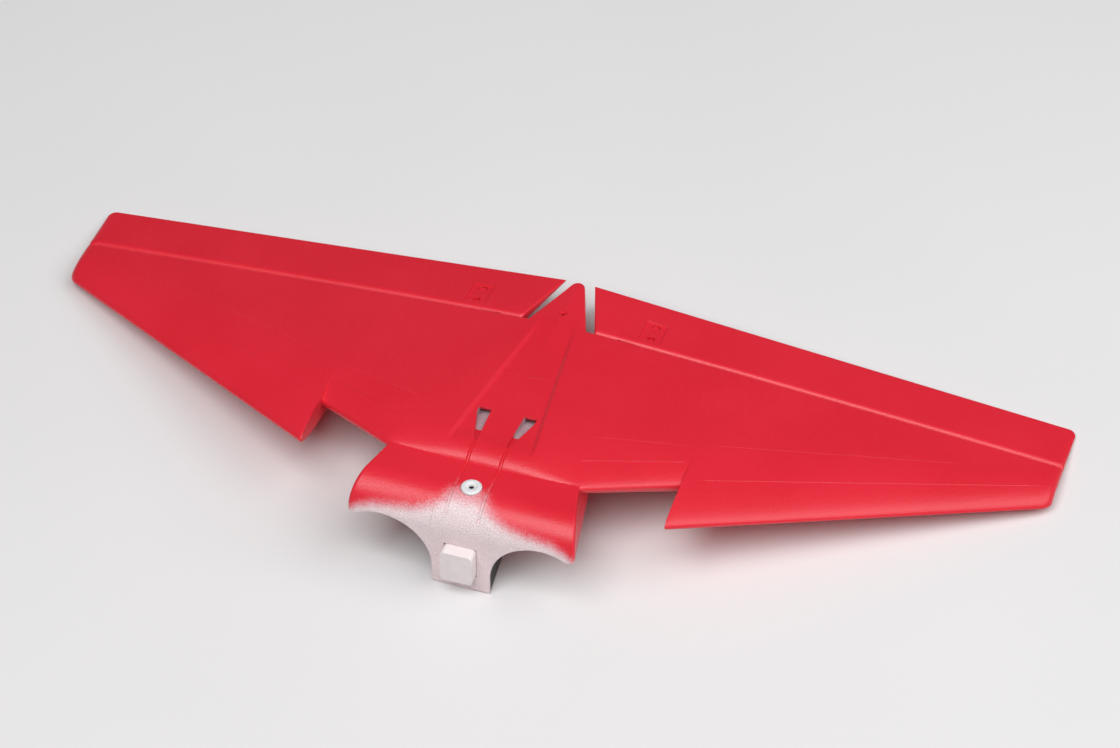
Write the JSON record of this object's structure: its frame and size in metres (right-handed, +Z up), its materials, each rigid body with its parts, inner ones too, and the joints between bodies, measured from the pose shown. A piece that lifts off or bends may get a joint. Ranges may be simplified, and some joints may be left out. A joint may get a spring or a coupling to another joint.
{
  "type": "model aircraft wing",
  "caption": "Moulded foam wing of a radio-controlled jet with sawtooth leading edges, full-span hinged ailerons, servos and linkages, and a bolt-on centre body.",
  "frame": {"origin": "on the axis of the rear wing screw, in the mid-plane, just under the top skin", "axes": "+X out along the left wing, +Y to the trailing edge, +Z up through the top skin; the nose points to -Y"},
  "size_m": [0.682, 0.2419, 0.0734],
  "materials": {
    "foam_red": "satin red paint over moulded bead foam",
    "foam_white": "bare white foam block with a light overspray",
    "carbon": "satin pultruded carbon fibre",
    "nylon_white": "natural nylon",
    "plastic_black": "black plastic",
    "plastic_red": "red moulded plastic",
    "brass": "machined brass",
    "aluminium": "drawn aluminium rod",
    "steel": "plated steel",
    "lead": "silicone cable"
  },
  "bodies": {
    "wing": {"wing_moulding": "foam_red", "spar_joiner": "aluminium", "front_bolt_washer": "nylon_white", "front_bolt_tube": "plastic_black", "rear_bolt_sleeve": "plastic_red", "locating_peg": "foam_white", "left_spar_tube": "carbon", "left_rear_spar": "carbon", "left_duct_liner": "plastic_black", "left_servo_case": "plastic_black", "left_servo_cover": "plastic_red", "left_cover_screws": "steel", "left_servo_lead": "lead", "left_hinge_wing_leaves": "plastic_red", "left_hinge_pins": "steel", "right_spar_tube": "carbon", "right_rear_spar": "carbon", "right_duct_liner": "plastic_black", "right_servo_case": "plastic_black", "right_servo_cover": "plastic_red", "right_cover_screws": "steel", "right_servo_lead": "lead", "right_hinge_wing_leaves": "plastic_red", "right_hinge_pins": "steel"},
    "left_aileron": {"left_aileron": "foam_red", "left_control_horn": "plastic_red", "left_hinge_aileron_leaves": "plastic_red"},
    "left_arm": {"left_servo_arm": "nylon_white", "left_servo_shaft": "brass", "left_arm_screw": "steel"},
    "left_rod": {"left_pushrod": "steel", "left_clevis": "plastic_black"},
    "right_aileron": {"right_aileron": "foam_red", "right_control_horn": "plastic_red", "right_hinge_aileron_leaves": "plastic_red"},
    "right_arm": {"right_servo_arm": "nylon_white", "right_servo_shaft": "brass", "right_arm_screw": "steel"},
    "right_rod": {"right_pushrod": "steel", "right_clevis": "plastic_black"}
  },
  "joints": [
    {"name": "left_aileron_hinge", "type": "hinge", "parent": "wing", "child": "left_aileron", "pos_m": [0.025, -0.0104, -0.0022], "axis": [0.9955, 0.0174, -0.0929], "range_deg": [-25, 25]},
    {"name": "left_servo_turn", "type": "hinge", "parent": "wing", "child": "left_arm", "pos_m": [0.06136, -0.04777, -0.00704], "axis": [0.9955, 0.0174, -0.0929], "range_deg": [-25, 25]},
    {"name": "left_rod_pivot", "type": "hinge", "parent": "left_arm", "child": "left_rod", "pos_m": [0.06025, -0.04779, -0.01899], "axis": [0.9955, 0.0174, -0.0929], "range_deg": [-25, 25]},
    {"name": "right_aileron_hinge", "type": "hinge", "parent": "wing", "child": "right_aileron", "pos_m": [-0.025, -0.0104, -0.0022], "axis": [0.9955, -0.0174, 0.0929], "range_deg": [-25, 25]},
    {"name": "right_servo_turn", "type": "hinge", "parent": "wing", "child": "right_arm", "pos_m": [-0.06136, -0.04777, -0.00704], "axis": [0.9955, -0.0174, 0.0929], "range_deg": [-25, 25]},
    {"name": "right_rod_pivot", "type": "hinge", "parent": "right_arm", "child": "right_rod", "pos_m": [-0.06025, -0.04779, -0.01899], "axis": [0.9955, -0.0174, 0.0929], "range_deg": [-25, 25]}
  ],
  "couplings": [
    {"joint": "left_servo_turn", "follows": "left_aileron_hinge", "ratio": 1},
    {"joint": "left_rod_pivot", "follows": "left_aileron_hinge", "ratio": -1},
    {"joint": "right_servo_turn", "follows": "right_aileron_hinge", "ratio": 1},
    {"joint": "right_rod_pivot", "follows": "right_aileron_hinge", "ratio": -1}
  ]
}
